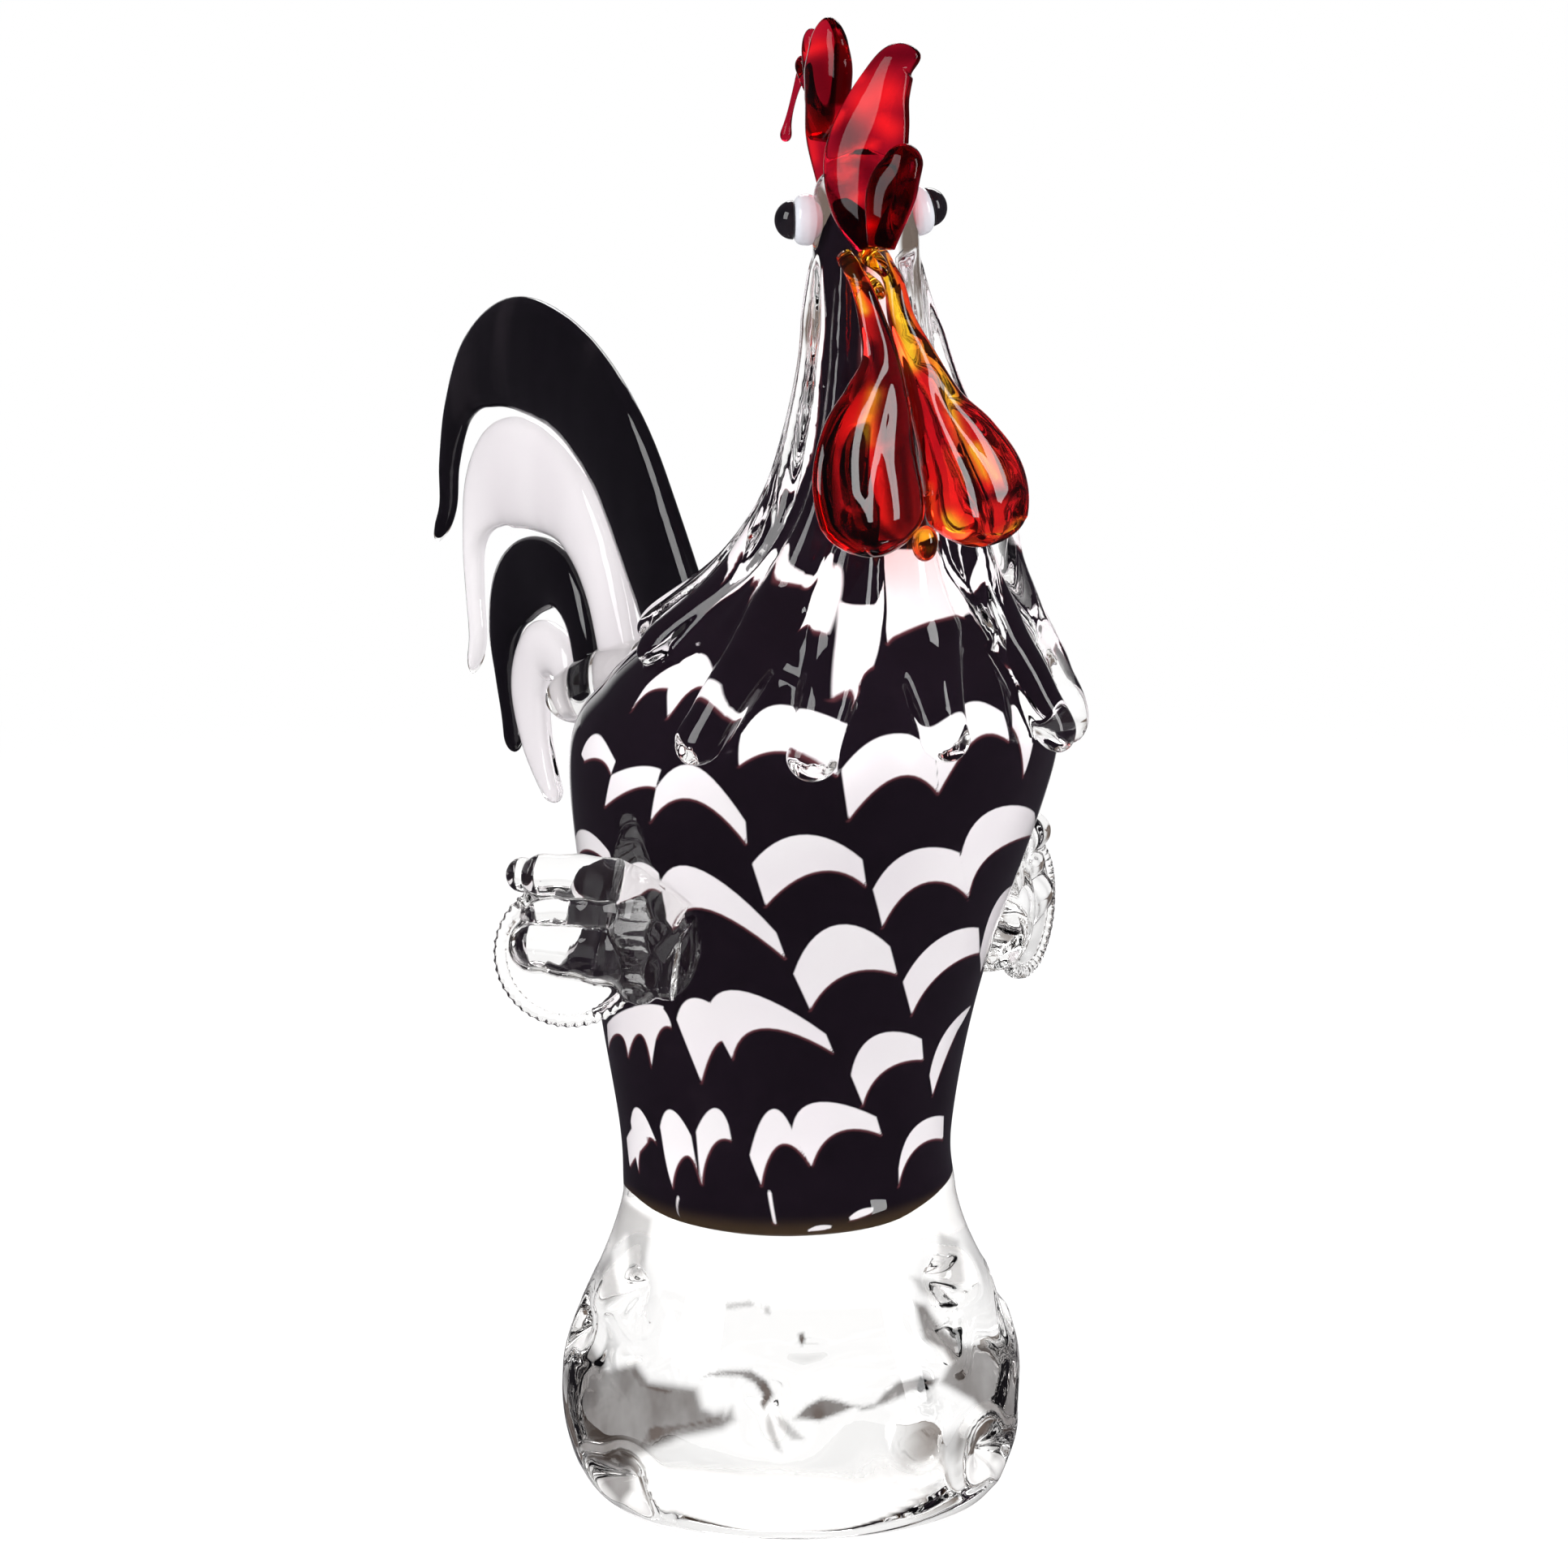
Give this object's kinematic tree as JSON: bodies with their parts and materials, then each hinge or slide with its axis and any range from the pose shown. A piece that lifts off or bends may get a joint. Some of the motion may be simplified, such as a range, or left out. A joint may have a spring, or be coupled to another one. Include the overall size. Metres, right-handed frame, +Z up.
{
  "type": "glass rooster figurine",
  "caption": "Free-standing hand-worked glass rooster: black body with white feathering cased in clear glass, clear hackle, wings and foot, black and white curled tail, red comb and wattles.",
  "frame": {"origin": "centre of the foot's flat underside", "axes": "+Z up, -Y the way the bird faces (breast and beak), +Y its tail, +X its left side"},
  "size_m": [0.1327, 0.2022, 0.2922],
  "materials": {
    "clear_glass": "fire-polished, clear",
    "black_glass": "opaque black, glossy",
    "white_glass": "opaque white, glossy",
    "red_glass": "fire-polished, transparent deep red",
    "red_amber_glass": "fire-polished, red with amber streaks",
    "amber_glass": "fire-polished, amber"
  },
  "bodies": {
    "root": {"foot": "clear_glass", "feathered_core": "black_glass", "clear_casing": "clear_glass", "hackle_feather_1": "clear_glass", "hackle_feather_2": "clear_glass", "hackle_feather_3": "clear_glass", "hackle_feather_4": "clear_glass", "hackle_feather_5": "clear_glass", "hackle_feather_6": "clear_glass", "hackle_feather_7": "clear_glass", "hackle_feather_8": "clear_glass", "hackle_feather_9": "clear_glass", "hackle_feather_10": "clear_glass", "wing_left": "clear_glass", "wing_right": "clear_glass", "tail_stem": "clear_glass", "tail_feather_1_casing": "clear_glass", "tail_feather_1_core": "black_glass", "tail_feather_2_casing": "clear_glass", "tail_feather_2_core": "white_glass", "tail_feather_3_casing": "clear_glass", "tail_feather_3_core": "black_glass", "tail_feather_4_casing": "clear_glass", "tail_feather_4_core": "white_glass", "eye_white_left": "white_glass", "eye_pupil_left": "black_glass", "eye_white_right": "white_glass", "eye_pupil_right": "black_glass", "comb_lobe_1": "red_glass", "comb_lobe_2": "red_glass", "comb_lobe_3": "red_glass", "comb_lobe_4": "red_glass", "comb_lobe_5": "red_glass", "comb_lobe_6": "red_glass", "beak_upper": "amber_glass", "beak_lower": "amber_glass", "wattle_left": "red_amber_glass", "wattle_right": "red_amber_glass"}
  },
  "joints": []
}
